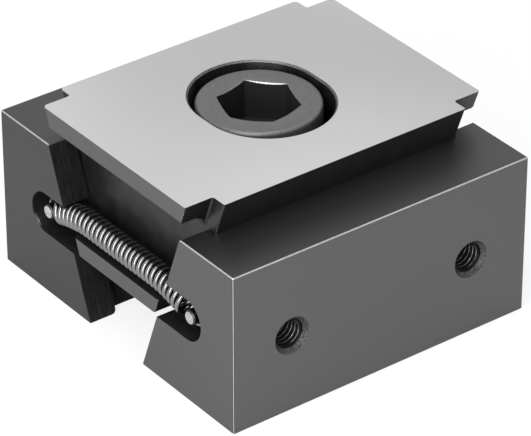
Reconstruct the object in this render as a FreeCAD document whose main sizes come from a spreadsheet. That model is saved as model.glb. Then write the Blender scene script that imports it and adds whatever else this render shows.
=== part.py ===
import FreeCAD, Part
import math
import os

import Sketcher

# Double wedge clamp. A wedge between two jaws is drawn down by one socket head cap screw and
# spreads them against their neighbours. The jaws' undersides lie in Z = 0, the screw's axis is
# the Z axis, X runs along the jaws and the front jaw is the one at -Y. The pose is at rest: the
# springs hold the jaws together and the wedge up.

Vector = FreeCAD.Vector

# Driving dimensions, in millimetres and degrees.
SIZES = {
    # Jaws
    "jaw_length": 68.0,
    "jaw_height": 33.5,
    "closed_width": 73.0,
    "mouth_width": 41.2,
    "flank_angle": 20.0,
    "corner_radius": 0.3,
    "edge_break": 0.2,
    # Guide grooves in the jaws' sloping faces
    "guide_wall": 6.0,
    "guide_depth": 2.35,
    "guide_clearance": 0.3,
    "guide_rounding": 1.2,
    "flank_clearance": 0.03,
    # Slots for the springs' eyes, and the pins pressed in behind them
    "slot_width": 8.7,
    "slot_overrun": 1.0,
    "pin_diameter": 3.0,
    "pin_length": 9.0,
    "pin_setback": 0.6,
    "pin_chamfer": 0.3,
    "pin_inset": 1.85,
    "pin_rise": 0.7,
    # Threaded holes in the clamping faces
    "bolt_spacing": 41.6,
    "bolt_height": 16.2,
    "bolt_diameter": 6.0,
    "bolt_depth": 9.5,
    "bolt_mouth": 7.7,
    # Wedge
    "wedge_height": 27.4,
    "wedge_lift": 7.5,
    "end_setback": 0.1,
    "tab_step": 3.4,
    "tab_height": 4.2,
    "lip_height": 3.3,
    "channel_radius": 3.5,
    "root_radius": 1.0,
    "notch_radius": 0.5,
    "rear_rounding": 1.0,
    "front_break": 0.2,
    "tab_radius": 0.8,
    "bore_width": 25.5,
    "bore_travel": 3.4,
    "bore_chamfer": 0.35,
    "shank_clearance": 1.5,
    # Screw
    "screw_diameter": 16.0,
    "screw_length": 40.0,
    "screw_offset": 0.9,
    "screw_sink": 0.85,
    "screw_turn": 12.3,
    "head_diameter": 24.0,
    "head_height": 16.0,
    "head_chamfer": 1.0,
    "hexagon_across": 14.0,
    "hexagon_depth": 8.0,
    "entry_overlap": 0.05,
    "entry_angle": 15.0,
    "shank_chamfer": 1.5,
    # Springs
    "spring_setback": 2.7,
    "coil_diameter": 5.3,
    "wire_diameter": 1.0,
    "coil_count": 28.0,
    "spring_clearance": 0.05,
    "eye_clearance": 0.03,
    "straight_coils": 14.5,
    "lead_turn": 0.2,
}

# Expressions that several features share, written with the names above.
SLOPE = "tan(Sizes.flank_angle)"
MOUTH = "Sizes.mouth_width / 2"
FOOT = "(Sizes.mouth_width / 2 - Sizes.jaw_height * tan(Sizes.flank_angle))"
OUTER = "Sizes.closed_width / 2"
LIFT = "(Sizes.jaw_height + Sizes.wedge_lift - Sizes.wedge_height)"
FLANK = "(%s + Sizes.guide_depth - Sizes.flank_clearance + %s * %s)" % (FOOT, LIFT, SLOPE)
BORE_DEPTH = "(Sizes.head_height + Sizes.screw_sink)"
PIN_REACH = "(Sizes.mouth_width / 2 + Sizes.pin_inset)"
PIN_HEIGHT = "(%s + Sizes.lip_height + Sizes.pin_rise)" % LIFT
GUIDE_LENGTH = "(Sizes.jaw_length - 2 * Sizes.guide_wall)"
BODY_LENGTH = "(%s - 2 * Sizes.guide_clearance)" % GUIDE_LENGTH
WEDGE_LENGTH = "(Sizes.jaw_length - 2 * Sizes.end_setback)"


def make_sheet(doc):
    """Write every driving dimension into a cell of its own, with its name as alias."""
    sheet = doc.addObject("Spreadsheet::Sheet", "Sizes")
    for row, (alias, number) in enumerate(SIZES.items(), start=1):
        cell = "A%d" % row
        sheet.set(cell, str(number))
        sheet.setAlias(cell, alias)
    doc.recompute()
    return sheet


def origin_plane(body, role):
    """Find one of a body's own origin planes."""
    return next(item for item in body.Origin.OriginFeatures if item.Role == role)


def new_sketch(body, name, role, **shift):
    """Attach a sketch to one of the body's planes, shifted along the sketch's own axes."""
    sketch = body.newObject("Sketcher::SketchObject", name)
    sketch.AttachmentSupport = [(origin_plane(body, role), "")]
    sketch.MapMode = "FlatFace"
    for axis, expression in shift.items():
        sketch.setExpression("AttachmentOffset.Base." + axis, expression)
    return sketch


def at(sketch, across, up):
    """Work out a point of a sketch from its two expressions."""
    return Vector(float(sketch.evalExpression(across)), float(sketch.evalExpression(up)), 0)


def dimension(sketch, kind, places, expression):
    """Add a dimension to a sketch and bind it to its expression."""
    start = float(sketch.evalExpression(expression))
    number = sketch.addConstraint(Sketcher.Constraint(kind, *places, start))
    sketch.setExpression("Constraints[%d]" % number, expression)


def locate(sketch, geometry, vertex, across, up):
    """Dimension a point of the geometry from the sketch's origin, both ways."""
    dimension(sketch, "DistanceX", (-1, 1, geometry, vertex), across)
    dimension(sketch, "DistanceY", (-1, 1, geometry, vertex), up)


def join_ends(sketch, ring):
    """Join the end of each curve to the start of the next, all the way round."""
    for first, second in zip(ring, ring[1:] + ring[:1]):
        sketch.addConstraint(Sketcher.Constraint("Coincident", first, 2, second, 1))


def polygon(sketch, corners):
    """Draw a closed outline of straight lines and dimension each of its corners."""
    points = [at(sketch, across, up) for across, up in corners]
    sides = zip(points, points[1:] + points[:1])
    ring = [sketch.addGeometry(Part.LineSegment(start, end), False) for start, end in sides]
    join_ends(sketch, ring)
    for side, (across, up) in zip(ring, corners):
        locate(sketch, side, 1, across, up)


def circle(sketch, across, up, radius):
    """Draw a circle."""
    size = float(sketch.evalExpression(radius))
    shape = Part.Circle(at(sketch, across, up), Vector(0, 0, 1), size)
    ring = sketch.addGeometry(shape, False)
    locate(sketch, ring, 3, across, up)
    dimension(sketch, "Radius", (ring,), radius)


def arc(sketch, across, up, radius, start, end):
    """Draw an arc of a circle between two angles in degrees, its centre and radius dimensioned."""
    size = float(sketch.evalExpression(radius))
    whole = Part.Circle(at(sketch, across, up), Vector(0, 0, 1), size)
    shape = Part.ArcOfCircle(whole, math.radians(start), math.radians(end))
    number = sketch.addGeometry(shape, False)
    locate(sketch, number, 3, across, up)
    dimension(sketch, "Radius", (number,), radius)
    return number


def oblong(sketch, half_travel, radius):
    """Draw an oblong about the sketch's origin, drawn out along the sketch's Y axis."""
    rise = float(sketch.evalExpression(half_travel))
    size = float(sketch.evalExpression(radius))
    upper = arc(sketch, "0", half_travel, radius, 0, 180)
    left = Part.LineSegment(Vector(-size, rise, 0), Vector(-size, -rise, 0))
    left = sketch.addGeometry(left, False)
    lower = arc(sketch, "0", "-" + half_travel, radius, 180, 360)
    right = Part.LineSegment(Vector(size, -rise, 0), Vector(size, rise, 0))
    right = sketch.addGeometry(right, False)
    join_ends(sketch, [upper, left, lower, right])
    for number in (upper, lower):
        for end in (1, 2):
            sketch.addConstraint(Sketcher.Constraint("Horizontal", number, 3, number, end))


def open_slot(sketch, across, up, radius):
    """Draw a slot that is round about a point and runs from there to the sketch's Y axis."""
    centre = at(sketch, across, up)
    size = float(sketch.evalExpression(radius))
    reach = [Vector(0, centre.y - size, 0), Vector(0, centre.y + size, 0)]
    round_end = arc(sketch, across, up, radius, 90, 270)
    start = Vector(centre.x, centre.y - size, 0)
    lower = sketch.addGeometry(Part.LineSegment(start, reach[0]), False)
    mouth = sketch.addGeometry(Part.LineSegment(*reach), False)
    end = Vector(centre.x, centre.y + size, 0)
    upper = sketch.addGeometry(Part.LineSegment(reach[1], end), False)
    join_ends(sketch, [round_end, lower, mouth, upper])
    for end in (1, 2):
        sketch.addConstraint(Sketcher.Constraint("Vertical", round_end, 3, round_end, end))
    for line in (lower, upper):
        sketch.addConstraint(Sketcher.Constraint("Horizontal", line))
    sketch.addConstraint(Sketcher.Constraint("PointOnObject", mouth, 1, -2))
    sketch.addConstraint(Sketcher.Constraint("PointOnObject", mouth, 2, -2))


def pad(body, name, sketch, length, both_ways=False):
    """Raise a sketch, to one side or half to each side."""
    feature = body.newObject("PartDesign::Pad", name)
    feature.Profile = sketch
    feature.setExpression("Length", length)
    if both_ways:
        feature.SideType = "Symmetric"
    return feature


def pocket(body, name, sketch, length, both_ways=False):
    """Cut a sketch in against its normal, or half to each side."""
    feature = body.newObject("PartDesign::Pocket", name)
    feature.Profile = sketch
    feature.setExpression("Length", length)
    if both_ways:
        feature.SideType = "Symmetric"
    return feature


def turned(body, kind, name, sketch):
    """Revolve a sketch about its own Y axis, as solid or as a cut."""
    feature = body.newObject("PartDesign::" + kind, name)
    feature.Profile = sketch
    feature.ReferenceAxis = (sketch, ["V_Axis"])
    feature.Angle = 360
    return feature


def dress(body, kind, name, chosen, size):
    """Fillet or chamfer the edges of the body's last feature that the test chooses."""
    body.Document.recompute()
    base = body.Tip
    edges = ["Edge%d" % number for number, edge in enumerate(base.Shape.Edges, start=1)
             if chosen(edge)]
    feature = body.newObject("PartDesign::" + kind, name)
    feature.Base = (base, edges)
    feature.setExpression("Radius" if kind == "Fillet" else "Size", size)
    return feature


def mirror_ends(body, features):
    """Repeat the features of the +X end at the -X end."""
    body.Document.recompute()
    feature = body.newObject("PartDesign::Mirrored", "other_end")
    feature.Originals = features
    feature.MirrorPlane = (origin_plane(body, "YZ_Plane"), [""])
    body.Tip = feature


def near(first, second):
    """Tell whether two lengths are the same to a thousandth of a millimetre."""
    return abs(first - second) < 1e-3


def upright(edge):
    """Tell whether an edge runs along Z."""
    start, end = edge.Vertexes[0].Point, edge.Vertexes[-1].Point
    return near(start.x, end.x) and near(start.y, end.y) and not near(start.z, end.z)


def sloping(edge):
    """Tell whether an edge belongs to a jaw's upright corners or to its sloping face's ends."""
    start, end = edge.Vertexes[0].Point, edge.Vertexes[-1].Point
    return abs(start.z - end.z) > 5


def all_at(edge, axis, place):
    """Tell whether all of an edge's ends lie at one place along an axis."""
    return all(near(getattr(vertex.Point, axis), place) for vertex in edge.Vertexes)


def build_jaw(doc, name, turn):
    """Model a jaw as the front one and turn it about the clamp's middle into its place."""
    body = doc.addObject("PartDesign::Body", name)
    block = new_sketch(body, "block", "YZ_Plane")
    polygon(block, [
        ("-" + OUTER, "0"),
        ("-" + FOOT, "0"),
        ("-" + MOUTH, "Sizes.jaw_height"),
        ("-" + OUTER, "Sizes.jaw_height"),
    ])
    pad(body, "jaw_block", block, "Sizes.jaw_length", both_ways=True)
    dress(body, "Fillet", "outer_corners", upright, "Sizes.corner_radius")
    dress(body, "Chamfer", "broken_edges", lambda edge: not sloping(edge), "Sizes.edge_break")

    # The groove's floor is the sliding face, parallel to the cheeks and deeper than they are.
    groove = new_sketch(body, "groove", "YZ_Plane")
    polygon(groove, [
        ("-%s - Sizes.guide_depth" % FOOT, "0"),
        ("0", "0"),
        ("0", "Sizes.jaw_height"),
        ("-%s - Sizes.guide_depth" % MOUTH, "Sizes.jaw_height"),
    ])
    pocket(body, "guide_groove", groove, GUIDE_LENGTH, both_ways=True)
    wall_place = float(body.evalExpression(GUIDE_LENGTH)) / 2

    def under_guide(edge):
        at_wall = all_at(edge, "x", wall_place) or all_at(edge, "x", -wall_place)
        return at_wall and all_at(edge, "z", 0)

    dress(body, "Fillet", "guide_corners", under_guide, "Sizes.guide_rounding")

    end = "Sizes.jaw_length / 2"
    pin = ("-" + PIN_REACH, PIN_HEIGHT)
    slot = new_sketch(body, "slot", "YZ_Plane", z=end)
    open_slot(slot, *pin, "Sizes.slot_width / 2")
    eye_slot = pocket(body, "eye_slot", slot, "Sizes.guide_wall + Sizes.slot_overrun")
    seat = new_sketch(body, "seat", "YZ_Plane", z=end)
    circle(seat, *pin, "Sizes.pin_diameter / 2")
    pin_hole = pocket(body, "pin_hole", seat, "Sizes.pin_setback + Sizes.pin_length")

    # Threaded hole at the thread's outer diameter, its drill point and countersink turned with it.
    drilled = new_sketch(body, "drilled", "XY_Plane", x="Sizes.bolt_spacing / 2",
                         y="-" + OUTER, z="Sizes.bolt_height")
    wall = "Sizes.bolt_diameter / 2"
    polygon(drilled, [
        ("0", "0"),
        ("Sizes.bolt_mouth / 2", "0"),
        (wall, "(Sizes.bolt_mouth - Sizes.bolt_diameter) / 2"),
        (wall, "Sizes.bolt_depth"),
        ("0", "Sizes.bolt_depth + %s * tan(30)" % wall),
    ])
    threaded_hole = turned(body, "Groove", "threaded_hole", drilled)
    mirror_ends(body, [eye_slot, pin_hole, threaded_hole])
    body.Placement.Rotation = FreeCAD.Rotation(Vector(0, 0, 1), turn)
    body.setExpression("Placement.Base.y", "-Sizes.screw_offset")
    return body


def trapezoid(sketch, low, high, step):
    """Draw a slice of the wedge between two heights, its flanks set in by a step."""
    widths = ["(%s + %s * %s - %s)" % (FLANK, height, SLOPE, step) for height in (low, high)]
    polygon(sketch, [
        ("-" + widths[0], low),
        (widths[0], low),
        (widths[1], high),
        ("-" + widths[1], high),
    ])


def channel_outline(sketch):
    """Draw a spring channel at the +X end, between the lip below it and the tab above."""
    wall = BODY_LENGTH + " / 2"
    far = "Sizes.jaw_length / 2"
    ceiling = "(Sizes.wedge_height - Sizes.tab_height)"
    big = "Sizes.channel_radius"
    small = "Sizes.root_radius"
    above = at(sketch, far, ceiling)
    below = at(sketch, far, "Sizes.lip_height")
    top_arc = (wall + " + " + big, ceiling + " - " + big)
    root_arc = (wall + " + " + small, "Sizes.lip_height + " + small)
    top_centre, root_centre = at(sketch, *top_arc), at(sketch, *root_arc)
    wall_x = at(sketch, wall, "0").x
    top_line = Part.LineSegment(above, Vector(top_centre.x, above.y, 0))
    top_line = sketch.addGeometry(top_line, False)
    upper = arc(sketch, *top_arc, big, 90, 180)
    back = Part.LineSegment(Vector(wall_x, top_centre.y, 0), Vector(wall_x, root_centre.y, 0))
    back = sketch.addGeometry(back, False)
    lower = arc(sketch, *root_arc, small, 180, 270)
    floor = sketch.addGeometry(Part.LineSegment(Vector(root_centre.x, below.y, 0), below), False)
    front = sketch.addGeometry(Part.LineSegment(below, above), False)
    join_ends(sketch, [top_line, upper, back, lower, floor, front])
    for number, end, direction in ((upper, 1, "Vertical"), (upper, 2, "Horizontal"),
                                   (lower, 1, "Horizontal"), (lower, 2, "Vertical")):
        sketch.addConstraint(Sketcher.Constraint(direction, number, 3, number, end))
    locate(sketch, top_line, 1, far, ceiling)
    locate(sketch, front, 1, far, "Sizes.lip_height")


def build_wedge(doc):
    """Model the wedge from its underside up: body, end tabs and lips, then its bore."""
    body = doc.addObject("PartDesign::Body", "clamping_wedge")
    core = new_sketch(body, "core", "YZ_Plane")
    trapezoid(core, "0", "Sizes.wedge_height", "0")
    pad(body, "wedge_body", core, BODY_LENGTH, both_ways=True)
    tails = new_sketch(body, "tails", "YZ_Plane")
    trapezoid(tails, "0", "Sizes.wedge_height", "Sizes.tab_step")
    pad(body, "end_tails", tails, WEDGE_LENGTH, both_ways=True)

    reach = float(body.evalExpression(BODY_LENGTH)) / 2
    top = float(body.evalExpression("Sizes.wedge_height"))
    tail_foot = float(body.evalExpression(FLANK + " - Sizes.tab_step"))

    ends = float(body.evalExpression(WEDGE_LENGTH)) / 2
    low = float(body.evalExpression("Sizes.wedge_height - Sizes.tab_height"))
    widest = float(body.evalExpression("%s + Sizes.wedge_height * %s" % (FLANK, SLOPE)))

    def at_corner(edge, side):
        from_foot = not near(edge.Vertexes[0].Point.z, edge.Vertexes[-1].Point.z)
        outermost = max(side * vertex.Point.y for vertex in edge.Vertexes)
        on_body = all_at(edge, "x", reach) or all_at(edge, "x", -reach)
        on_tail = all_at(edge, "x", ends) or all_at(edge, "x", -ends)
        return from_foot and (on_tail and outermost > 0 or on_body and near(outermost, widest))

    dress(body, "Fillet", "rear_corners", lambda edge: at_corner(edge, 1), "Sizes.rear_rounding")
    dress(body, "Chamfer", "front_corners", lambda edge: at_corner(edge, -1), "Sizes.front_break")

    def in_notch(edge):
        on_body_end = all_at(edge, "x", reach) or all_at(edge, "x", -reach)
        beside_tail = near(min(abs(vertex.Point.y) for vertex in edge.Vertexes), tail_foot)
        return on_body_end and beside_tail and not all_at(edge, "z", 0)

    dress(body, "Fillet", "notch_corners", in_notch, "Sizes.notch_radius")
    channel = new_sketch(body, "channel", "XZ_Plane")
    channel_outline(channel)
    cut = pocket(body, "spring_channel", channel, "Sizes.closed_width", both_ways=True)
    mirror_ends(body, [cut])

    def under_tab(edge):
        at_end = all_at(edge, "x", ends) or all_at(edge, "x", -ends)
        return at_end and all_at(edge, "z", low)

    dress(body, "Fillet", "tab_edges", under_tab, "Sizes.tab_radius")

    # The oblong lets the wedge float across the clamp under the screw's head.
    travel = "(Sizes.bore_travel / 2)"
    head_bore = new_sketch(body, "head_bore", "XY_Plane", z="Sizes.wedge_height")
    oblong(head_bore, travel, "Sizes.bore_width / 2")
    pocket(body, "counterbore", head_bore, BORE_DEPTH)
    shank_bore = new_sketch(body, "shank_bore", "XY_Plane", z="Sizes.wedge_height")
    oblong(shank_bore, travel, "(Sizes.screw_diameter + Sizes.shank_clearance) / 2")
    pocket(body, "through_slot", shank_bore, "Sizes.wedge_height")

    bore = float(body.evalExpression("Sizes.bore_width")) / 2

    def on_rim(edge):
        return all_at(edge, "z", top) and all(abs(v.Point.x) < bore + 1 for v in edge.Vertexes)

    dress(body, "Chamfer", "bore_rim", on_rim, "Sizes.bore_chamfer")
    body.setExpression("Placement.Base.y", "-Sizes.screw_offset")
    body.setExpression("Placement.Base.z", LIFT)
    return body


def build_screw(doc):
    """Turn the cap screw about Z from its seat under the head, and sink its hexagon."""
    body = doc.addObject("PartDesign::Body", "clamping_screw")
    head = "Sizes.head_diameter / 2"
    shank = "Sizes.screw_diameter / 2"
    half = new_sketch(body, "half", "XZ_Plane")
    polygon(half, [
        ("0", "-Sizes.screw_length"),
        (shank + " - Sizes.shank_chamfer", "-Sizes.screw_length"),
        (shank, "-Sizes.screw_length + Sizes.shank_chamfer"),
        (shank, "0"),
        (head, "0"),
        (head, "Sizes.head_height - Sizes.head_chamfer"),
        (head + " - Sizes.head_chamfer", "Sizes.head_height"),
        ("0", "Sizes.head_height"),
    ])
    turned(body, "Revolution", "turned_blank", half)
    hexagon = new_sketch(body, "hexagon", "XY_Plane", z="Sizes.head_height")
    corner = "Sizes.hexagon_across / sqrt(3)"
    polygon(hexagon, [("%s * cos(%d)" % (corner, angle), "%s * sin(%d)" % (corner, angle))
                      for angle in range(0, 360, 60)])
    pocket(body, "hexagon_socket", hexagon, "Sizes.hexagon_depth")

    # A cone that just takes in the hexagon's corners opens its mouth.
    entry = new_sketch(body, "entry", "XZ_Plane", y="Sizes.head_height")
    mouth = "(%s + Sizes.entry_overlap)" % corner
    polygon(entry, [("0", "0"), (mouth, "0"), ("0", "-%s * tan(Sizes.entry_angle)" % mouth)])
    turned(body, "Groove", "socket_entry", entry)
    turn = float(body.evalExpression("Sizes.screw_turn"))
    body.Placement.Rotation = FreeCAD.Rotation(Vector(0, 0, 1), turn)
    body.setExpression("Placement.Base.z", "%s + Sizes.wedge_height - %s" % (LIFT, BORE_DEPTH))
    return body


def build_pin(doc, name, end, side):
    """Model a spring pin along X and place it at one end (-1 left) of one jaw (-1 front)."""
    body = doc.addObject("PartDesign::Body", name)
    section = new_sketch(body, "section", "YZ_Plane")
    circle(section, "0", "0", "Sizes.pin_diameter / 2")
    pad(body, "pin", section, "Sizes.pin_length", both_ways=True)
    dress(body, "Chamfer", "pin_ends", lambda edge: edge.Closed, "Sizes.pin_chamfer")
    middle = "(Sizes.jaw_length / 2 - Sizes.pin_setback - Sizes.pin_length / 2)"
    body.setExpression("Placement.Base.x", "%d * %s" % (end, middle))
    body.setExpression("Placement.Base.y",
                       "%d * %s - Sizes.screw_offset" % (side, PIN_REACH))
    body.setExpression("Placement.Base.z", PIN_HEIGHT)
    return body


def surface_line(surface, start, end):
    """Edge that is a straight line in a surface's own two parameters."""
    line = Part.Geom2d.Line2dSegment(FreeCAD.Base.Vector2d(*start), FreeCAD.Base.Vector2d(*end))
    return line.toShape(surface)


def half_spring(size):
    """Edges of half a spring's centre line, from its middle coil to the tip of its eye.

    The spring lies along Y about its own middle, and its other half is the same, turned about
    Z. Its coils are straight over the wedge's lip and bow down from there to the pins: a
    straight line on a cylinder, then one on a torus. They meet at the coil's side, where the
    two lines have the same direction. A bend and a round eye end the wire.
    """
    wire = size["wire_diameter"]
    radius = (size["coil_diameter"] - wire) / 2
    pin = size["mouth_width"] / 2 + size["pin_inset"]
    slack = radius - (wire + size["pin_diameter"]) / 2
    eye = pin - slack + size["eye_clearance"]
    coiled = eye - radius - 1.5 * wire
    pitch = 2 * coiled / size["coil_count"]
    straight = pitch * size["straight_coils"] / 2

    # The crest clears the lip's corner: each height here is that of the coils' own axis.
    slope = math.tan(math.radians(size["flank_angle"]))
    lift = size["jaw_height"] + size["wedge_lift"] - size["wedge_height"]
    lip_top = lift + size["lip_height"]
    pin_height = lip_top + size["pin_rise"]
    corner = (size["mouth_width"] / 2 - (size["jaw_height"] - lip_top) * slope
              + size["guide_depth"] - size["flank_clearance"] - size["tab_step"])
    share = (max(0, corner - straight) / (pin - straight)) ** 2
    over_lip = lip_top + size["spring_clearance"] + size["coil_diameter"] / 2
    crest = (over_lip - share * pin_height) / (1 - share)
    bow = (pin - straight) ** 2 / (2 * (crest - pin_height))

    middle = math.radians(90 + 180 * size["coil_count"])
    turn = 2 * math.pi / pitch
    cylinder = Part.Cylinder()
    cylinder.Radius = radius
    coils = surface_line(cylinder, (middle, 0), (middle + turn * straight, straight))
    coils.transformShape(FreeCAD.Matrix(-1, 0, 0, 0, 0, 0, 1, 0, 0, 1, 0, crest))

    end = coiled - size["lead_turn"] * pitch
    torus = Part.Toroid()
    torus.MajorRadius = bow
    torus.MinorRadius = radius
    side = math.pi / 2 - (middle + turn * straight)
    sweep = (end - straight) / bow
    bowed = surface_line(torus, (0, side), (sweep, side - turn * (end - straight)))
    bowed.transformShape(FreeCAD.Matrix(0, 0, -1, 0, 0, 1, 0, straight, 1, 0, 0, crest - bow))

    def on_eye(degrees):
        angle = math.radians(degrees)
        return Vector(0, eye + radius * math.cos(angle), pin_height + radius * math.sin(angle))

    leave = bowed.valueAt(bowed.LastParameter)
    heading = bowed.tangentAt(bowed.LastParameter)
    arrive = on_eye(90)
    bend = Part.BezierCurve()
    bend.setPoles([leave, leave + heading * 1.2 * radius,
                   arrive - Vector(0, 0.65 * radius, 0), arrive])
    hook = Part.Arc(arrive, on_eye(-22.5), on_eye(-135))
    return [coils, bowed, bend.toShape(), hook.toShape()]


def build_spring(doc, name, end, size):
    """Sweep one spring's wire along its whole centre line, eye to eye."""
    half = half_spring(size)
    other = [edge.rotated(Vector(0, 0, 0), Vector(0, 0, 1), 180) for edge in half]
    line = Part.Wire(Part.sortEdges(half + other)[0])
    tip = line.OrderedEdges[0]
    start = line.OrderedVertexes[0].Point
    thickness = size["wire_diameter"] / 2
    section = Part.makeCircle(thickness, start, tip.tangentAt(tip.Curve.parameter(start)))
    spring = doc.addObject("Part::Feature", name)
    spring.Shape = line.makePipeShell([Part.Wire([section])], True, True)
    place = size["jaw_length"] / 2 - size["spring_setback"]
    spring.Placement = FreeCAD.Placement(Vector(end * place, -size["screw_offset"], 0),
                                         FreeCAD.Rotation())
    expected = math.pi * thickness ** 2 * line.Length
    print("%s: volume %.1f of %.1f mm3" % (name, spring.Shape.Volume, expected))
    return spring


def check(doc, pieces):
    """Stop if any object failed or any piece isn't one valid solid."""
    for item in doc.Objects:
        failed = {"Invalid", "Error"} & set(item.State)
        if failed:
            raise RuntimeError("%s is %s" % (item.Name, ", ".join(sorted(failed))))
    for piece in pieces:
        shape = piece.Shape
        if shape.isNull() or not shape.isValid() or len(shape.Solids) != 1:
            raise RuntimeError("%s is not one valid solid" % piece.Label)


def main():
    """Build the clamp and write one STEP file for each piece."""
    doc = FreeCAD.newDocument("wedge_clamp")
    sheet = make_sheet(doc)
    size = {alias: float(sheet.get(alias)) for alias in SIZES}
    pieces = [
        build_jaw(doc, "front_jaw", 0),
        build_jaw(doc, "rear_jaw", 180),
        build_wedge(doc),
        build_screw(doc),
    ]
    for side, jaw in ((-1, "front"), (1, "rear")):
        for end, hand in ((-1, "left"), (1, "right")):
            pieces.append(build_pin(doc, "%s_%s_pin" % (jaw, hand), end, side))
    for end, hand in ((-1, "left"), (1, "right")):
        pieces.append(build_spring(doc, hand + "_spring", end, size))
    doc.recompute()
    check(doc, pieces)
    os.makedirs("parts", exist_ok=True)
    for piece in pieces:
        piece.Shape.exportStep("parts/%s.step" % piece.Label)
        box = piece.Shape.BoundBox
        print("%s: X %.2f to %.2f, Y %.2f to %.2f, Z %.2f to %.2f, volume %.1f" % (
            piece.Label, box.XMin, box.XMax, box.YMin, box.YMax, box.ZMin, box.ZMax,
            piece.Shape.Volume))


main()
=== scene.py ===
"""Floating wedge clamp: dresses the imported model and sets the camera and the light.

The jaws, the wedge and the pins keep their CAD shapes and get finishes of their own. The two
springs, the socket head screw and the threads in the bolt holes are surfaces worked out here.
"""
from __future__ import annotations

import logging
import math
from dataclasses import dataclass, field, replace
from enum import Enum
from functools import partial
from typing import Any, Sequence

import bpy
import numpy as np
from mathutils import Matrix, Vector

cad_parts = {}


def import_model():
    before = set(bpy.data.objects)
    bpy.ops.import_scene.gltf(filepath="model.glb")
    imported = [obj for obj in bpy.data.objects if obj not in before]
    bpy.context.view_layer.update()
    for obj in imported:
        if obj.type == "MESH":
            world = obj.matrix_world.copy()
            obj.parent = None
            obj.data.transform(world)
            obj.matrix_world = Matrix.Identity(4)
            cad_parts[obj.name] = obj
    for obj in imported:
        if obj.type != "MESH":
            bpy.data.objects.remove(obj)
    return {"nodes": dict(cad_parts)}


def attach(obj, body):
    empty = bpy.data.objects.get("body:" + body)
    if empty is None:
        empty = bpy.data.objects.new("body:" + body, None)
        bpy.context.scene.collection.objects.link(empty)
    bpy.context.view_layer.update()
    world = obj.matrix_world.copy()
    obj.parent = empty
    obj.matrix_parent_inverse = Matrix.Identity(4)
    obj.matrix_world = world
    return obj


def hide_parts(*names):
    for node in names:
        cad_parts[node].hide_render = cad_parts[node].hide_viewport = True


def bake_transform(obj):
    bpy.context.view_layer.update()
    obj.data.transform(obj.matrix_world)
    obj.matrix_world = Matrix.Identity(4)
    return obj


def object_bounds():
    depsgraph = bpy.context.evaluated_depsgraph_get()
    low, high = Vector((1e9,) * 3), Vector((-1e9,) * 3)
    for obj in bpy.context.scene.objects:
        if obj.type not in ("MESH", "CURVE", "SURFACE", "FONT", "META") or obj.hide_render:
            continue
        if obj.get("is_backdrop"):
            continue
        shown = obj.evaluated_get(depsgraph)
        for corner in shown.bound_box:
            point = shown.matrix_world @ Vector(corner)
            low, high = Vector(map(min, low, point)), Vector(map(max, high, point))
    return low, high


LOG = logging.getLogger("wedge_clamp")
MM = 0.001

# Places in the frame, in mm: the Y of the two jaws' outer faces and of the middle between them,
# and the X of a spring.
FRONT_FACE, REAR_FACE, MIDDLE = -37.4, 35.6, -0.9
SPRING_X = 31.3

# Where the jaws and the wedge end, in mm from the middle or in height, for their finishes.
JAW_END, JAW_SIDE, JAW_TOP = 34.0, 36.5, 33.5
WEDGE_END, WEDGE_TOP = 33.9, 41.0

# The attribute that says how worn or how bare each point of a piece is.
WORN = "worn"

# A direction that no stretch of wire keeps to, from which the frames along a tube start.
FIXED = (0.31, 0.17, 0.93)

# The width in mm of a slow change of tone, how far grain shifts a roughness, and the width in mm
# over which a mask fades in at its limit.
DRIFT = 55.0
ROUGHNESS_SPREAD = 0.06
SOFT_LIMIT = 0.1

# How far a direction points along an axis, from where a mask starts to where it is full: for a
# level face, and for an edge that no axis is near.
LEVEL = (0.97, 0.99)
TURNED = (0.9, 0.78)

# How bare of oxide the screw is: black, turned grey, rubbed a little brighter, and bare metal. The
# last two are partly wear and partly painted highlights, on the head's rounding and round the
# hexagon's mouth.
BLACK, GREY, RUBBED_AND_SHEEN, BARE_AND_GLINT = 0.0, 1.0, 1.15, 2.0

# One over the share of a bolt thread's height that counts as its worn crest.
CREST = 8

# An angle that is too small to see, which keeps rounding from moving a hexagon's corner.
NUDGE = 1e-9


def linear(hexadecimal: str) -> tuple[float, float, float, float]:
    """Turn an sRGB hex colour such as "#6a6a6a" into linear RGBA.

    Args:
        hexadecimal: the colour, with its leading hash.

    Returns:
        Red, green, blue and an alpha of one.
    """
    parts = [int(hexadecimal[i:i + 2], 16) / 255 for i in (1, 3, 5)]
    red, green, blue = [
        part / 12.92 if part <= 0.04045 else ((part + 0.055) / 1.055) ** 2.4 for part in parts
    ]
    return red, green, blue, 1.0


def add_node(
    tree: bpy.types.NodeTree, kind: str, values: dict[int | str, Any] | None = None,
    output: int | str = 0, **settings: Any
) -> bpy.types.NodeSocket | None:
    """Add one shader node with its settings, its input values and its links.

    Args:
        tree: the node tree that gets the node.
        kind: the node's type name.
        values: for each input, by name or number, a value or the output that feeds it.
        output: the output to return, by name or number.
        settings: the node's own properties.

    Returns:
        The new node's output, or nothing if it has none.
    """
    node = tree.nodes.new(kind)
    for name, setting in settings.items():
        setattr(node, name, setting)
    for socket, value in (values or {}).items():
        if isinstance(value, bpy.types.NodeSocket):
            tree.links.new(value, node.inputs[socket])
        else:
            node.inputs[socket].default_value = value
    return node.outputs[output] if node.outputs else None


class Where(Enum):
    """The faces of a part that one finish covers."""

    EVERYWHERE = "everywhere"
    ENDS = "flat faces at the part's two ends, across X"
    SIDES = "flat faces at the part's outer sides, across Y"
    UP = "level faces at the top"
    SLANTING = "broken edges and countersinks, turned 45 degrees"
    RIM = "broken edges of the part's outside alone"
    WORN = "crests and edges that the piece's own attribute marks"


# The axis that each kind of flat face looks along.
AXES = {Where.ENDS: 0, Where.SIDES: 1, Where.UP: 2}


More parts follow.
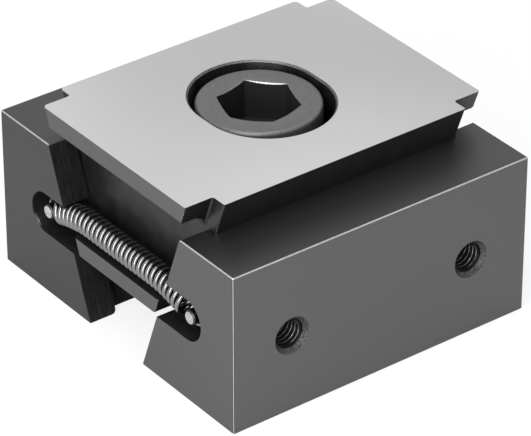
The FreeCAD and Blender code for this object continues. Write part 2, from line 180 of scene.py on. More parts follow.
@dataclass(frozen=True)
class Layer:
    """One surface finish and the faces that it covers.

    Attributes:
        where: the faces.
        colour: sRGB hex of the finish.
        roughness: how far it spreads its reflections.
        limit: how far out from the part's middle the faces are at least, in mm, or how worn.
        height: how high a rim that isn't at an end is at least, in mm.
        grain: size of its fine grain in mm.
        contrast: how much the grain lightens and darkens the colour, as a share.
        drift: how much the tone changes slowly over the part, as a share.
        streak: how many times longer than wide the grain is, down the slope.
        dents: height of the grain in mm.
        metallic: how much it reflects as bare metal.
    """

    where: Where
    colour: str
    roughness: float
    limit: float = 0.0
    height: float = 0.0
    grain: float = 0.3
    contrast: float = 0.06
    drift: float = 0.0
    streak: float = 1.0
    dents: float = 0.002
    metallic: float = 0.9


class SteelGraph:
    """Builds the node graph of a steel part that has several finishes on its faces."""

    def __init__(self, name: str, middle: float) -> None:
        """Start the material, with each point's place from the part's middle and its facing.

        Args:
            name: the material's name.
            middle: the Y of the part's middle, in mm.
        """
        self.material = bpy.data.materials.new(name)
        self.material.use_nodes = True
        self.material.node_tree.nodes.clear()
        self.add = partial(add_node, self.material.node_tree)
        source = self.add("ShaderNodeTexCoord", output="Object")
        self.place = self.add("ShaderNodeVectorMath", {0: source, "Scale": 1 / MM},
                              operation="SCALE")
        moved = self.add("ShaderNodeVectorMath", {0: self.place, 1: (0, middle, 0)},
                         operation="SUBTRACT")
        normal = self.add("ShaderNodeTexCoord", output="Normal")
        self.out, self.facing = [
            [self.add("ShaderNodeSeparateXYZ", {0: self.add(
                "ShaderNodeVectorMath", {0: vector}, operation="ABSOLUTE")}, output=axis)
             for axis in range(3)]
            for vector in (moved, normal)]

    def mask(self, layer: Layer) -> bpy.types.NodeSocket:
        """Work out where a layer is.

        A flat face counts if it looks along its axis and lies beyond the layer's limit. An edge
        counts if no axis is near its direction, and a rim's also lies beyond one of its limits.

        Args:
            layer: the finish.

        Returns:
            A socket that is 1 on the layer's faces and 0 elsewhere.
        """
        if layer.where is Where.WORN:
            worn = self.add("ShaderNodeAttribute", output="Fac", attribute_name=WORN)
            return self.add("ShaderNodeMapRange", {
                "Value": worn, "From Min": layer.limit, "From Max": layer.limit + 1})
        axis = AXES.get(layer.where, 0)
        beyond = self.add("ShaderNodeMapRange", {
            "Value": self.out[axis], "From Min": layer.limit - SOFT_LIMIT,
            "From Max": layer.limit})
        if layer.where in AXES:
            level = self.add("ShaderNodeMapRange", {
                "Value": self.facing[axis], "From Min": LEVEL[0], "From Max": LEVEL[1]})
            return self.add("ShaderNodeMath", {0: level, 1: beyond}, operation="MULTIPLY")
        steepest = self.add("ShaderNodeMath", {0: self.facing[0], 1: self.facing[1]},
                            operation="MAXIMUM")
        steepest = self.add("ShaderNodeMath", {0: steepest, 1: self.facing[2]},
                            operation="MAXIMUM")
        slanting = self.add("ShaderNodeMapRange", {
            "Value": steepest, "From Min": TURNED[0], "From Max": TURNED[1]})
        if layer.where is Where.SLANTING:
            return slanting
        above = self.add("ShaderNodeMapRange", {
            "Value": self.out[2], "From Min": layer.height - SOFT_LIMIT,
            "From Max": layer.height})
        either = self.add("ShaderNodeMath", {0: beyond, 1: above}, operation="MAXIMUM")
        return self.add("ShaderNodeMath", {0: slanting, 1: either}, operation="MULTIPLY")

    def finish(self, layers: Sequence[Layer]) -> bpy.types.Material:
        """Lay the finishes over each other and connect the shader.

        Each layer's grain is a noise between 0 and 1. It scales the colour by one less or more
        the contrast, shifts the roughness by ROUGHNESS_SPREAD and gives the surface its dents. A
        second noise, DRIFT mm wide, adds the drift in the same way.

        Args:
            layers: the finishes, the first of which is everywhere.

        Returns:
            The finished material.
        """
        slow = self.add("ShaderNodeTexNoise", {
            "Vector": self.place, "Scale": 1 / DRIFT, "Detail": 0.0})
        colour: Any = None
        numbers: list[Any] = []
        for layer in layers:
            size = layer.grain * layer.streak
            scaled = self.add("ShaderNodeVectorMath", {
                0: self.place, 1: (1 / layer.grain, 1 / size, 1 / size)}, operation="MULTIPLY")
            grain = self.add("ShaderNodeTexNoise", {
                "Vector": scaled, "Scale": 1.0, "Detail": 3.0, "Roughness": 0.6})
            shade, rough, dents = [
                self.add("ShaderNodeMath", {0: grain, 1: factor, 2: start},
                         operation="MULTIPLY_ADD")
                for factor, start in ((2 * layer.contrast, 1 - layer.contrast - layer.drift),
                                      (2 * ROUGHNESS_SPREAD, layer.roughness - ROUGHNESS_SPREAD),
                                      (layer.dents * MM, 0.0))]
            shade = self.add("ShaderNodeMath", {
                0: slow, 1: 2 * layer.drift, 2: shade}, operation="MULTIPLY_ADD")
            own = self.add("ShaderNodeVectorMath", {
                0: linear(layer.colour)[:3], "Scale": shade}, operation="SCALE")
            if colour is None:
                colour, numbers = own, [rough, dents, layer.metallic]
                continue
            share = self.mask(layer)
            colour = self.add("ShaderNodeMix", {0: share, 4: colour, 5: own}, output=1,
                              data_type="VECTOR")
            numbers = [self.add("ShaderNodeMix", {0: share, 2: below, 3: above})
                       for below, above in zip(numbers, (rough, dents, layer.metallic))]
        rough, dents, metallic = numbers
        bump = self.add("ShaderNodeBump", {"Height": dents, "Distance": 1.0, "Strength": 1.0})
        shader = self.add("ShaderNodeBsdfPrincipled", {
            "Base Color": colour, "Metallic": metallic, "Roughness": rough, "Normal": bump})
        self.add("ShaderNodeOutputMaterial", {"Surface": shader})
        return self.material


@dataclass(frozen=True)
class SteelFinish:
    """A steel part's finishes.

    Attributes:
        name: the material's name.
        layers: its finishes, the first of which is everywhere.
        middle: the Y of the part's middle, in mm.
    """

    name: str
    layers: tuple[Layer, ...]
    middle: float = MIDDLE

    def build(self) -> bpy.types.Material:
        """Return the finished material."""
        return SteelGraph(self.name, self.middle).finish(self.layers)


# Tool steel, milled and blackened: deep soft black in the grooves, with the cutter's marks down
# the slopes. Its outside is ground after that, to a mid grey that is painted in three tones by the
# faces' direction as painted light: darkest on the top, lighter on the ends, lightest on the front
# and back sides. Its outer edges are broken by hand and shine, partly as bare steel and partly as
# a painted highlight. The real grain is finer; it is drawn as coarse as can be seen.
JAW_STEEL = SteelFinish("ground_blackened_tool_steel", (
    Layer(Where.EVERYWHERE, "#262626", 0.48, grain=0.28, streak=12, contrast=1.5, dents=0.03,
          metallic=0.65),
    # Painted light: the ground top is painted darker than the ends and the sides.
    Layer(Where.UP, "#4b4b4b", 0.42, limit=JAW_TOP - 0.1, grain=0.25, contrast=0.08),
    Layer(Where.ENDS, "#535353", 0.44, limit=JAW_END - 0.02, grain=0.25, contrast=0.05),
    Layer(Where.SIDES, "#595959", 0.44, limit=JAW_SIDE - 0.02, grain=0.25, contrast=0.05),
    Layer(Where.SLANTING, "#484848", 0.38, grain=0.35, contrast=1.8, dents=0.05),
    # Partly bare worn steel and partly a painted highlight along the outer edges.
    Layer(Where.RIM, "#b4b4b4", 0.36, limit=JAW_END - 0.4, height=JAW_TOP - 0.3, grain=0.5,
          contrast=0.3),
))

# The same steel for the rear jaw, whose ends are painted darker, as painted shade where the light
# falls off towards the back.
SHADED_REAR_JAW_STEEL = SteelFinish("ground_blackened_tool_steel_painted_shade", tuple(
    replace(layer, colour="#3e3e3e") if layer.where is Where.ENDS else layer
    for layer in JAW_STEEL.layers))

# The same steel, but the wedge's top is ground bright and its milled flanks stay black. The top's
# slow drift is painted light: lighter towards its near end and darker towards its far end.
WEDGE_STEEL = SteelFinish("ground_bright_tool_steel", (
    Layer(Where.EVERYWHERE, "#242424", 0.42, grain=0.28, streak=12, contrast=1.2, dents=0.02,
          metallic=0.6),
    Layer(Where.ENDS, "#535353", 0.42, limit=WEDGE_END - 0.02, grain=0.25, contrast=0.06),
    # Painted light: the drift makes the top lighter at its near end and darker at its far end.
    Layer(Where.UP, "#a9a9a9", 0.50, limit=WEDGE_TOP - 0.1, grain=0.2, contrast=0.08,
          drift=-0.3, metallic=0.3),
    Layer(Where.SLANTING, "#5e5e5e", 0.40, grain=0.3, contrast=1.8, dents=0.05),
))

# Quenched alloy steel with its black oxide: nearly black where the hexagon is pressed in, an
# even mid grey where the head is turned, rubbed a little brighter on its worn outer edge, and bare
# metal as a thin line round the hexagon's mouth. That brighter edge and that line are partly wear
# and partly painted highlights.
SCREW_STEEL = SteelFinish("black_oxide_alloy_steel", (
    Layer(Where.EVERYWHERE, "#262626", 0.40, grain=0.5, contrast=0.3, dents=0.006, metallic=0.4),
    Layer(Where.WORN, "#606060", 0.48, grain=0.4, contrast=0.5, drift=0.1, dents=0.012,
          metallic=0.6),
    # Bare metal, partly wear and partly a painted highlight on the head's rounding and round the
    # hexagon's mouth.
    Layer(Where.WORN, "#989898", 0.36, limit=1.0, grain=0.35, contrast=1.4, dents=0.01),
))

# Hardened dowel steel, its side and chamfers painted dark as painted shade where the pins sit in
# the jaws' slots, with ends that a saw and a stone have left bright and mottled.
SHADED_PIN_STEEL = SteelFinish("hardened_dowel_steel_painted_shade", (
    # Painted shade: the side is painted nearly black.
    Layer(Where.EVERYWHERE, "#222222", 0.40, grain=0.35, contrast=0.12, dents=0.003),
    Layer(Where.ENDS, "#ababab", 0.42, limit=30.0, grain=0.4, contrast=0.9, dents=0.01),
    # Painted shade: the chamfers are painted dark.
    Layer(Where.SLANTING, "#3c3c3c", 0.42, grain=0.3, contrast=0.4, dents=0.006),
))

# Hard drawn music wire, left bright: a clear shine along each coil, with faint draw lines. Its
# colour is that of steel seen straight on, which the wire's own roundness lightens at its edges.
SPRING_STEEL = SteelFinish("bright_music_wire", (
    Layer(Where.EVERYWHERE, "#7c7c7c", 0.22, grain=0.3, contrast=0.12, dents=0.001,
          metallic=1.0),
))

# The blackened inside of a tapped hole, painted darker than the jaws' own black as painted shade
# inside the holes, whose crests the tap leaves bare here and there.
THREAD_STEEL = SteelFinish("tapped_blackened_steel_painted_shade", (
    # Partly black oxide and partly painted shade inside the holes.
    Layer(Where.EVERYWHERE, "#1a1a1a", 0.40, grain=0.35, contrast=0.4, dents=0.004,
          metallic=1.0),
    Layer(Where.WORN, "#989898", 0.32, grain=1.1, contrast=1.8, dents=0.004),
))


def shell(grid: np.ndarray, ring: bool) -> tuple[np.ndarray, list[list[int]]]:
    """Turn a grid of points into a closed surface.

    Point (i, j) is joined with its neighbours (i, j + 1), (i + 1, j + 1) and (i + 1, j). The
    columns close on themselves. The rows do too if they are a ring, and otherwise the first and
    last row are each closed by one flat face. If the volume that the faces enclose, the sum of
    the tetrahedra between them and the points' mean, comes out negative, every face is turned
    round.

    Args:
        grid: the points, as rows, columns and XYZ in metres.
        ring: whether the last row joins the first.

    Returns:
        The points as one list, and the faces as lists of point numbers.
    """
    rows, columns = grid.shape[:2]
    i, j = np.meshgrid(np.arange(rows if ring else rows - 1), np.arange(columns), indexing="ij")
    below, beside = (i + 1) % rows, (j + 1) % columns
    quads = np.stack([i * columns + j, i * columns + beside,
                      below * columns + beside, below * columns + j], axis=-1).reshape(-1, 4)
    points = grid.reshape(-1, 3)
    centred = points - points.mean(axis=0)
    first, second, third, fourth = (centred[quads[:, k]] for k in range(4))
    volume = np.einsum("ij,ij->", first, np.cross(second, third) + np.cross(third, fourth))
    caps = [] if ring else [list(range(columns))[::-1],
                            list(range((rows - 1) * columns, rows * columns))]
    for cap in caps:
        corners = centred[cap]
        fan = np.cross(corners[1:-1], corners[2:])
        volume += float((fan @ corners[0]).sum())
    faces = quads.tolist() + caps
    if volume < 0:
        faces = [face[::-1] for face in faces]
    return points, faces


def make_piece(
    name: str, shells: Sequence[tuple[np.ndarray, list[list[int]]]], finish: SteelFinish,
    worn: np.ndarray | None = None, sharp: float = 35.0
) -> bpy.types.Object:
    """Put closed surfaces into one object that is smooth but for its sharp edges.

    Args:
        name: the piece's name.
        shells: the points and faces of each surface.
        finish: the finish it gets.
        worn: how worn each point is, from 0 up, or nothing.
        sharp: the angle in degrees past which an edge stays sharp.

    Returns:
        The new object, at the origin.
    """
    points = np.concatenate([part for part, _ in shells])
    starts = np.cumsum([0] + [len(part) for part, _ in shells[:-1]])
    faces = [[start + corner for corner in face]
             for start, (_, part) in zip(starts.tolist(), shells) for face in part]
    mesh = bpy.data.meshes.new(name)
    mesh.from_pydata(points.tolist(), [], faces)
    mesh.polygons.foreach_set("use_smooth", np.ones(len(faces), dtype=bool))
    mesh.set_sharp_from_angle(angle=math.radians(sharp))
    if worn is not None:
        mesh.attributes.new(WORN, "FLOAT", "POINT").data.foreach_set("value", worn.ravel())
    mesh.materials.append(finish.build())
    mesh.update()
    piece = bpy.data.objects.new(name, mesh)
    bpy.context.scene.collection.objects.link(piece)
    LOG.info("%s: %d faces", name, len(faces))
    return piece


def around(count: int) -> np.ndarray:
    """Return evenly spaced angles of one full turn, as one row."""
    return np.linspace(0, 2 * np.pi, count, endpoint=False)[None, :]


def thread_profile(
    turns: np.ndarray, angle: np.ndarray, slope: float, root: float
) -> np.ndarray:
    """Work out the profile of a helical thread, 0 at its root and 1 at its crest.

    It is a triangle wave of the turns less the angle's share of one. The slope stretches it, the
    root lowers it, and cutting it off at 0 and 1 leaves a flat root and a flat crest.

    Args:
        turns: height over the pitch, as one column.
        angle: the angles, as one row.
        slope: how steep the flanks are.
        root: how far the wave is lowered.

    Returns:
        The profile at each height and angle.
    """
    phase = np.mod(turns - angle / (2 * np.pi), 1.0)
    return np.clip(slope * (1 - 2 * np.abs(phase - 0.5)) - root, 0, 1)


def tube(line: np.ndarray, radius: float, sides: int) -> np.ndarray:
    """Carry a circle along a line without twisting it.

    At each station a first side vector is the cross product of the line's direction and one
    fixed vector. The angle that this frame turns by from one station to the next, seen along the
    line, is added up and taken off again, which leaves a frame that only bends with the line.

    Args:
        line: the stations, as rows of XYZ.
        radius: the circle's radius.
        sides: the number of points round the circle.

    Returns:
        The grid of points, one row for each station.
    """
    ahead = np.gradient(line, axis=0)
    ahead /= np.linalg.norm(ahead, axis=1, keepdims=True)
    side = np.cross(ahead, FIXED)
    side /= np.linalg.norm(side, axis=1, keepdims=True)
    carried = side[:-1] - (side[:-1] * ahead[1:]).sum(axis=1, keepdims=True) * ahead[1:]
    other = np.cross(ahead, side)
    turn = np.arctan2((carried * other[1:]).sum(axis=1), (carried * side[1:]).sum(axis=1))
    angle = np.concatenate([[0.0], np.cumsum(turn)])[:, None]
    turned = around(sides) + angle
    return (line[:, None] + radius * (np.cos(turned)[..., None] * side[:, None]
                                      + np.sin(turned)[..., None] * other[:, None]))


@dataclass
class CoilSpring:
    """One extension spring over the wedge's lip, hooked on two pins.

    The coils' axis is straight over the lip, bows down in an arc from there, and the wire ends
    in an eye round each pin. All lengths are in mm.

    Attributes:
        name: the piece's name.
        node: the CAD part that it replaces.
        x: the X of the coils' axis.
        middle: the Y of the spring's middle.
        radius: from the coils' axis to the wire's middle.
        wire: the wire's diameter.
        crest: the height of the straight stretch of the axis.
        pin_height: the height of the pins.
        eye: from the spring's middle to a pin, along Y.
        coiled: from the spring's middle to the end of its coils, along the axis.
        coils: the number of turns.
        straight_coils: how many of them are straight over the lip.
        lead: how much of the last turn, as a share, goes over to the curve to the eye.
        reach: from the spring's middle to where the arc would meet the pins' height.
        stations: the number of points for each turn of the wire.
        bend_stations: the number of points on the curve to the eye.
        eye_stations: the number of points on the eye.
        sides: the number of points round the wire.
        leave: how far that curve keeps to the last coil's direction, in coil radii.
        arrive: how far it runs level on to the eye, in coil radii.
        hook: the angle in degrees at which the eye's open end stops.
    """

    name: str
    node: str
    x: float
    middle: float = MIDDLE
    radius: float = 2.15
    wire: float = 1.0
    crest: float = 19.795
    pin_height: float = 17.6
    eye: float = 22.33
    coiled: float = 20.014
    coils: int = 30
    straight_coils: float = 14.5
    lead: float = 0.2
    reach: float = 21.4
    stations: int = 34
    bend_stations: int = 18
    eye_stations: int = 30
    sides: int = 12
    leave: float = 1.2
    arrive: float = 0.65
    hook: float = -135.0

    def coil(self, along: np.ndarray) -> np.ndarray:
        """Place the wire's middle on the coils.

        The wire turns once for each pitch about an axis that is level up to the end of the
        straight coils. Past it the axis is a circle's arc, whose radius makes it fall very nearly
        to the pin's height at the reach.

        Args:
            along: distances from the spring's middle, along its axis.

        Returns:
            One point for each distance.
        """
        pitch = 2 * self.coiled / self.coils
        straight = pitch * self.straight_coils / 2
        bow = (self.reach - straight) ** 2 / (2 * (self.crest - self.pin_height))
        turned = math.pi / 2 + math.pi * self.coils + 2 * np.pi * along / pitch
        bend = np.maximum(along - straight, 0) / bow
        out = bow + self.radius * np.sin(turned)
        return np.stack([
            -self.radius * np.cos(turned),
            np.minimum(along, straight) + out * np.sin(bend),
            self.crest - bow + out * np.cos(bend),
        ], axis=-1)

    def half(self) -> np.ndarray:
        """Follow the wire from the spring's middle to the tip of one eye.

        The coils end in a cubic curve with four control points, which leaves in the wire's own
        direction and arrives level on top of the eye, a circle round the pin.

        Returns:
            The points of the wire's middle.
        """
        pitch = 2 * self.coiled / self.coils
        end = self.coiled - self.lead * pitch
        coil = self.coil(np.linspace(0, end, int(self.stations * end / pitch)))
        last, near = self.coil(np.array([end, end - 0.001]))
        heading = (last - near) / np.linalg.norm(last - near)
        top = np.array([0, self.eye, self.pin_height + self.radius])
        controls = [last, last + heading * self.leave * self.radius,
                    top - np.array([0, self.arrive * self.radius, 0]), top]
        t = np.linspace(0, 1, self.bend_stations)[1:, None]
        weights = [(1 - t) ** 3, 3 * (1 - t) ** 2 * t, 3 * (1 - t) * t ** 2, t ** 3]
        bend = sum(weight * point for weight, point in zip(weights, controls))
        angle = np.radians(np.linspace(90, self.hook, self.eye_stations))[1:]
        loop = np.stack([np.zeros_like(angle), self.eye + self.radius * np.cos(angle),
                         self.pin_height + self.radius * np.sin(angle)], axis=-1)
        return np.concatenate([coil, bend, loop])

    def build(self) -> bpy.types.Object:
        """Make the spring and stretch it between the two jaws.

        Returns:
            The finished piece.
        """
        half = self.half()
        line = np.concatenate([(half * (-1, -1, 1))[:0:-1], half])
        line = (line + (self.x, self.middle, 0)) * MM
        wire = shell(tube(line, self.wire / 2 * MM, self.sides), ring=False)
        piece = make_piece(self.name, [wire], SPRING_STEEL)
        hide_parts(self.node)
        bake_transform(piece)
        return piece


@dataclass
class SocketScrew:
    """The socket head cap screw, turned about the Z axis.

    All lengths are in mm and all heights are in the frame.

    Attributes:
        name: the piece's name.
        tip: the height of the shank's end.
        seat: the height of the head's underside.
        top: the height of the head's top.
        head: the head's radius.
        rounding: the radius of its outer edge.
        shank: the shank's radius over its thread.
        neck: how far below the seat the plain neck starts.
        fillet: the neck's growth in radius below the head.
        throat: how far below the seat and out of the neck the fillet's middle is.
        heel: how far in the edge of the head's underside starts.
        heel_height: how high that edge ends.
        inset: how far in from the head's side its face has a row of points.
        pitch: the thread's pitch.
        thread: its depth.
        flank: how steep its flanks are.
        root: how far its wave is lowered, which widens its root.
        rows: the number of rows for each pitch.
        runout: over what length it fades out, and how deep the tip's cone cuts in.
        across_flats: the hexagon's width.
        turned: the angle in degrees that the hexagon is turned by.
        entry: the radius of the cone that opens the hexagon, at the top.
        entry_angle: the cone's fall in degrees.
        cone_shares: how far in each row of the cone is, as a share of its width.
        burr: how much further its inner end falls, as a share of its width.
        depth: from the top to the socket's floor.
        wall_shares: how far down each row of the walls is, as a share of their height.
        floor: the radius of the drilled floor's flat ring.
        drill: how much deeper the floor's middle is.
        point: the radius of its middle.
        columns: the number of points round the screw.
    """

    name: str = "socket_head_screw"
    tip: float = -15.85
    seat: float = 24.15
    top: float = 40.15
    head: float = 12.0
    rounding: float = 0.8
    shank: float = 8.0
    neck: float = 2.0
    fillet: float = 0.6
    throat: float = 0.2
    heel: float = 0.5
    heel_height: float = 0.4
    inset: float = 2.4
    pitch: float = 2.0
    thread: float = 1.2
    flank: float = 1.6
    root: float = 0.2
    rows: int = 10
    runout: float = 1.5
    across_flats: float = 14.0
    turned: float = 12.3
    entry: float = 8.133
    entry_angle: float = 15.0
    cone_shares: tuple[float, ...] = (0.5, 0.86, 0.88, 1.0)
    burr: float = 0.15
    depth: float = 8.0
    wall_shares: tuple[float, ...] = (0.02, 0.2, 0.5, 0.8, 1.0)
    floor: float = 5.6
    drill: float = 1.4
    point: float = 0.4
    columns: int = 96

    def hexagon(self, angle: np.ndarray) -> np.ndarray:
        """Return the hexagon's radius at each angle: half its flats over a cosine."""
        within = np.mod(angle - math.radians(self.turned) + NUDGE, math.pi / 3) - math.pi / 6
        return self.across_flats / 2 / np.cos(within)

    def shank_rows(self, angle: np.ndarray) -> tuple[np.ndarray, np.ndarray]:
        """Work out the threaded shank's radius and height, from its tip up to its neck.

        The thread fades out below the neck, and a cone cuts off the tip.

        Args:
            angle: the angle of each column.

        Returns:
            The radius and the height of each point.
        """
        height = np.arange(self.tip, self.seat - self.neck, self.pitch / self.rows)[:, None]
        ridge = thread_profile(height / self.pitch, angle, self.flank, self.root)
        fade = np.clip((self.seat - self.neck - self.fillet - height) / self.runout, 0, 1)
        threaded = self.shank - self.thread * (1 - ridge) * fade
        cone = self.shank - self.runout + (height - self.tip)
        return np.minimum(threaded, cone), height + 0 * angle

    def head_rows(self) -> np.ndarray:
        """Return the outline from the neck to the socket: height, radius and bareness."""
        under = [(self.seat - 2 * self.fillet, self.shank, BLACK),
                 (self.seat - self.fillet, self.shank, BLACK),
                 (self.seat - self.throat, self.shank + self.throat, BLACK),
                 (self.seat, self.shank + self.fillet, BLACK),
                 (self.seat, self.head - self.heel, BLACK),
                 (self.seat + self.heel_height, self.head, BLACK)]
        turn = np.radians(np.linspace(0, 90, 9))
        # Two rows of the rounding are rubbed a little brighter: partly wear and partly a painted
        # highlight.
        bareness = [GREY] * 5 + [RUBBED_AND_SHEEN] * 2 + [GREY] * 2
        edge = [(self.top - self.rounding + self.rounding * math.sin(angle),
                 self.head - self.rounding + self.rounding * math.cos(angle), bare)
                for angle, bare in zip(turn, bareness)]
        face = [(self.top, self.head - self.inset, GREY), (self.top, self.entry, GREY)]
        return np.array(under + edge + face)

    def socket_rows(self, angle: np.ndarray) -> tuple[np.ndarray, np.ndarray, np.ndarray]:
        """Work out the socket's radius, height and bareness, from its entry to its floor.

        A cone about the axis opens the hexagon. Each of its rows is at one share of the way from
        the entry's radius to the hexagon's, and falls by the way inwards times the tangent of the
        cone's angle, so the last row is the curve where the cone meets the walls. That row falls
        a little further, by the burr times the way inwards, which makes a small bevel. The
        cone's two inner rows are bare, partly wear and partly a painted highlight along that
        bevel, and the walls below them are black.

        Args:
            angle: the angle of each column.

        Returns:
            The radius, the height and the bareness of each point.
        """
        hexagon = self.hexagon(angle)
        share = np.array(self.cone_shares)[:, None]
        cone = self.entry + share * (hexagon - self.entry)
        drop = (self.entry - cone) * math.tan(math.radians(self.entry_angle))
        drop[-1] += self.burr * (self.entry - cone[-1])
        walls = np.array(self.wall_shares)[:, None]
        floor = np.array([(self.floor, self.top - self.depth),
                          (self.point, self.top - self.depth - self.drill)])
        radius = np.concatenate([cone, hexagon + 0 * walls, floor[:, :1] + 0 * angle])
        height = np.concatenate([
            self.top - drop, self.top - drop[-1:] - walls * (self.depth - drop[-1:]),
            floor[:, 1:] + 0 * angle])
        bare = np.array([GREY, GREY, BARE_AND_GLINT, BARE_AND_GLINT] + [BLACK] * (len(walls) + len(floor)))
        return radius, height, bare[:, None] + 0 * angle

    def surface(self) -> tuple[np.ndarray, np.ndarray]:
        """Work out the whole surface, from the tip up and down into the socket.

        Returns:
            The grid of points in metres, and how bare of oxide each point is.
        """
        angle = around(self.columns) + math.radians(self.turned)
        shank, rise = self.shank_rows(angle)
        head = self.head_rows()[:, :, None] + 0 * angle
        socket, level, worn = self.socket_rows(angle)
        radius = np.concatenate([shank, head[:, 1], socket])
        height = np.concatenate([rise, head[:, 0], level])
        bare = np.concatenate([0 * shank, head[:, 2], worn])
        points = np.stack([radius * np.cos(angle), radius * np.sin(angle), height], axis=-1)
        return points * MM, bare

    def build(self) -> bpy.types.Object:
        """Make the screw in place of the CAD one and let it turn with its body.

        Returns:
            The finished piece.
        """
        points, bare = self.surface()
        piece = make_piece(self.name, [shell(points, ring=False)], SCREW_STEEL, worn=bare)
        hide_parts("clamping_screw")
        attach(piece, "screw")
        return piece


@dataclass
class BoltThreads:
    """The cut thread in the two bolt holes of one jaw. All lengths are in mm.

    Attributes:
        name: the piece's name.
        body: the jaw that it rides on.
        mouth: the Y of the jaw's outer face.
        inward: 1 or -1, the way into the jaw along Y.
        x: the X of the right hole's axis.
        z: the height of the holes' axes.
        wall: the holes' radius.
        ridge: the thread's depth.
        pitch: its pitch.
        start: the depth at which it starts, below the countersink.
        stop: the depth at which it ends.
        fade: over what length it fades in and out.
        flank: how steep its flanks are.
        root: how far its wave is lowered, which widens its root.
        rows: the number of rows for each pitch.
        skin: how much its roots stand proud of the hole's wall.
        backing: how far its lining reaches into the steel.
        columns: the number of points round a hole.
    """

    name: str
    body: str
    mouth: float
    inward: float
    x: float = 20.8
    z: float = 16.2
    wall: float = 3.0
    ridge: float = 0.5
    pitch: float = 1.0
    start: float = 0.87
    stop: float = 9.4
    fade: float = 0.5
    flank: float = 1.25
    root: float = 0.12
    rows: int = 12
    skin: float = 0.02
    backing: float = 0.2
    columns: int = 48

    def ring(self, side: float) -> tuple[np.ndarray, np.ndarray]:
        """Work out the threaded lining of one hole.

        Its inner face has the thread, which fades out at both ends, and only the crests count as
        worn. Its outer face lies in the steel.

        Args:
            side: -1 for the left hole and 1 for the right one.

        Returns:
            The grid of points in metres, whose rows are a ring, and how worn each point is.
        """
        angle = around(self.columns)
        depth = np.arange(self.start, self.stop, self.pitch / self.rows)[:, None]
        wave = thread_profile(depth / self.pitch, angle, self.flank, self.root)
        fade = np.clip(np.minimum(depth - self.start, self.stop - depth) / self.fade, 0, 1)
        inner = self.wall - self.skin - self.ridge * wave * fade
        ends = np.array([[self.stop], [self.start]])
        radius = np.concatenate([inner, self.wall + self.backing + 0 * ends + 0 * angle])
        along = np.concatenate([depth, ends]) + 0 * angle
        crests = np.clip(CREST * wave * fade - (CREST - 1), 0, 1)
        worn = np.concatenate([crests, 0 * ends + 0 * angle])
        points = np.stack([side * self.x + radius * np.cos(angle),
                           self.mouth + self.inward * along,
                           self.z + radius * np.sin(angle)], axis=-1)
        return points * MM, worn

    def build(self) -> bpy.types.Object:
        """Make the threads of both holes.

        Returns:
            The finished piece.
        """
        rings = [self.ring(side) for side in (-1, 1)]
        piece = make_piece(
            self.name, [shell(points, ring=True) for points, _ in rings], THREAD_STEEL,
            worn=np.concatenate([worn for _, worn in rings]))
        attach(piece, self.body)
        return piece


@dataclass
class Dressing:
    """Gives the parts that keep their CAD shape their finishes."""

    finishes: dict[str, SteelFinish] = field(default_factory=lambda: {
        "front_jaw": JAW_STEEL,
        "rear_jaw": SHADED_REAR_JAW_STEEL,
        "clamping_wedge": WEDGE_STEEL,
        "front_left_pin": SHADED_PIN_STEEL,
        "front_right_pin": SHADED_PIN_STEEL,
        "rear_left_pin": SHADED_PIN_STEEL,
        "rear_right_pin": SHADED_PIN_STEEL,
    })

    def apply(self, nodes: dict[str, bpy.types.Object]) -> None:
        """Put each finish into every material slot of its part.

        Args:
            nodes: the CAD parts by name.
        """
        made: dict[str, bpy.types.Material] = {}
        for name, finish in self.finishes.items():
            material = made.get(finish.name) or finish.build()
            made[finish.name] = material
            for place in nodes[name].material_slots:
                place.material = material
            LOG.info("%s: %s", name, finish.name)


@dataclass(frozen=True)
class Softbox:
    """One lamp that faces the clamp.

    Attributes:
        name: the lamp's name.
        place: where it hangs, in metres.
        size: its width and height, in metres.
        power: its power in watts.
    """

    name: str
    place: tuple[float, float, float]
    size: tuple[float, float]
    power: float

    def build(self) -> None:
        """Hang the lamp."""
        data = bpy.data.lights.new(self.name, "AREA")
        data.shape = "RECTANGLE"
        data.size, data.size_y = self.size
        data.energy = self.power
        lamp = bpy.data.objects.new(self.name, data)
        lamp.location = self.place
        lamp.rotation_euler = Vector(self.place).to_track_quat("Z", "Y").to_euler()
        bpy.context.scene.collection.objects.link(lamp)


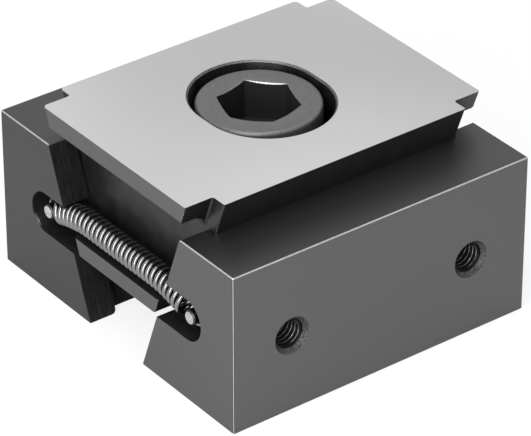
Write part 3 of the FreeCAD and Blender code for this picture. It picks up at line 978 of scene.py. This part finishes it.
@dataclass
class Studio:
    """The floor, the light and the camera of the photograph.

    Attributes:
        target: what the camera looks at, in metres.
        azimuth: the camera's angle about Z from the front, in degrees.
        elevation: its angle above the floor, in degrees.
        distance: from the target to the camera, in metres.
        lens: its focal length in mm.
        sensor: its sensor's width in mm.
        fill: the strength of the light from all round.
        glow: the share of pure white in the floor where the camera sees it.
        half_floor: half the floor's width, in metres.
        softboxes: the lamps.
    """

    target: tuple[float, float, float] = (0.00497, 0.00453, 0.0102)
    azimuth: float = -37.17
    elevation: float = 32.28
    distance: float = 0.72106
    lens: float = 255.9
    sensor: float = 36.0
    fill: float = 0.66
    glow: float = 0.8
    half_floor: float = 1.5
    softboxes: tuple[Softbox, ...] = (
        Softbox("softbox_above", (-0.12, -0.10, 0.52), (0.24, 0.6), 1.3),
        Softbox("softbox_beside", (-0.40, -0.20, 0.24), (0.2, 0.5), 2.7),
    )

    def back(self) -> Vector:
        """Return the direction from the target to the camera."""
        turn, rise = math.radians(self.azimuth), math.radians(self.elevation)
        return Vector((math.sin(turn) * math.cos(rise), -math.cos(turn) * math.cos(rise),
                       math.sin(rise)))

    def camera(self) -> None:
        """Set the camera at the photograph's angle and distance."""
        data = bpy.data.cameras.new("camera")
        data.lens = self.lens
        data.sensor_fit = "HORIZONTAL"
        data.sensor_width = self.sensor
        data.clip_start = 0.01
        data.clip_end = 20.0
        camera = bpy.data.objects.new("camera", data)
        camera.location = Vector(self.target) + self.back() * self.distance
        camera.rotation_euler = self.back().to_track_quat("Z", "Y").to_euler()
        bpy.context.scene.collection.objects.link(camera)
        bpy.context.scene.camera = camera

    def floor(self) -> None:
        """Lay a plain pale floor under the jaws."""
        half = self.half_floor
        mesh = bpy.data.meshes.new("floor")
        mesh.from_pydata([(-half, -half, 0), (half, -half, 0), (half, half, 0), (-half, half, 0)],
                         [], [(0, 1, 2, 3)])
        material = bpy.data.materials.new("pale_painted_floor")
        material.use_nodes = True
        tree = material.node_tree
        tree.nodes.clear()
        paint = add_node(tree, "ShaderNodeBsdfDiffuse", {"Color": linear("#f4f4f4")})
        white = add_node(tree, "ShaderNodeEmission", {"Color": linear("#ffffff"), "Strength": 1.0})
        seen = add_node(tree, "ShaderNodeLightPath", output="Is Camera Ray")
        share = add_node(tree, "ShaderNodeMath", {0: seen, 1: self.glow}, operation="MULTIPLY")
        both = add_node(tree, "ShaderNodeMixShader", {0: share, 1: paint, 2: white})
        add_node(tree, "ShaderNodeOutputMaterial", {"Surface": both})
        mesh.materials.append(material)
        floor = bpy.data.objects.new("floor", mesh)
        bpy.context.scene.collection.objects.link(floor)
        floor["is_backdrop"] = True

    def world(self) -> None:
        """Surround the clamp with even light, and show pure white to the camera and in metal."""
        world = bpy.data.worlds.new("studio")
        world.use_nodes = True
        tree = world.node_tree
        tree.nodes.clear()
        camera, glossy, through = [
            add_node(tree, "ShaderNodeLightPath", output=name)
            for name in ("Is Camera Ray", "Is Glossy Ray", "Is Transmission Ray")]
        seen = add_node(tree, "ShaderNodeMath", {0: camera, 1: glossy}, operation="ADD")
        white = add_node(tree, "ShaderNodeMath", {0: seen, 1: through}, operation="ADD",
                         use_clamp=True)
        strength = add_node(tree, "ShaderNodeMapRange",
                            {"Value": white, "To Min": self.fill, "To Max": 1.0})
        light = add_node(tree, "ShaderNodeBackground",
                         {"Color": linear("#ffffff"), "Strength": strength})
        add_node(tree, "ShaderNodeOutputWorld", {"Surface": light})
        bpy.context.scene.world = world

    def build(self) -> None:
        """Set everything up, and show the colours as they are."""
        self.camera()
        self.floor()
        self.world()
        for softbox in self.softboxes:
            softbox.build()
        bpy.context.scene.view_settings.view_transform = "Standard"


def corners(bounds: Sequence[Vector]) -> list[list[float]]:
    """Return a box's two corners as plain lists of numbers."""
    return [[float(value) for value in corner] for corner in bounds]


def main() -> dict[str, list[list[float]]]:
    """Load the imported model, build each piece and set up the studio.

    Returns:
        The boxes of the CAD model and of the dressed model.
    """
    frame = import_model()
    sizes = {"cad": corners(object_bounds())}
    Studio().build()
    Dressing().apply(frame["nodes"])
    CoilSpring("left_coil_spring", "left_spring", -SPRING_X).build()
    CoilSpring("right_coil_spring", "right_spring", SPRING_X).build()
    SocketScrew().build()
    BoltThreads("front_bolt_threads", "front_jaw", FRONT_FACE, 1.0).build()
    BoltThreads("rear_bolt_threads", "rear_jaw", REAR_FACE, -1.0).build()
    sizes["visual"] = corners(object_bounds())
    LOG.info("sizes %s", sizes)
    return sizes


if __name__ == "__main__":
    logging.basicConfig(level=logging.INFO, format="%(name)s: %(message)s")
    main()
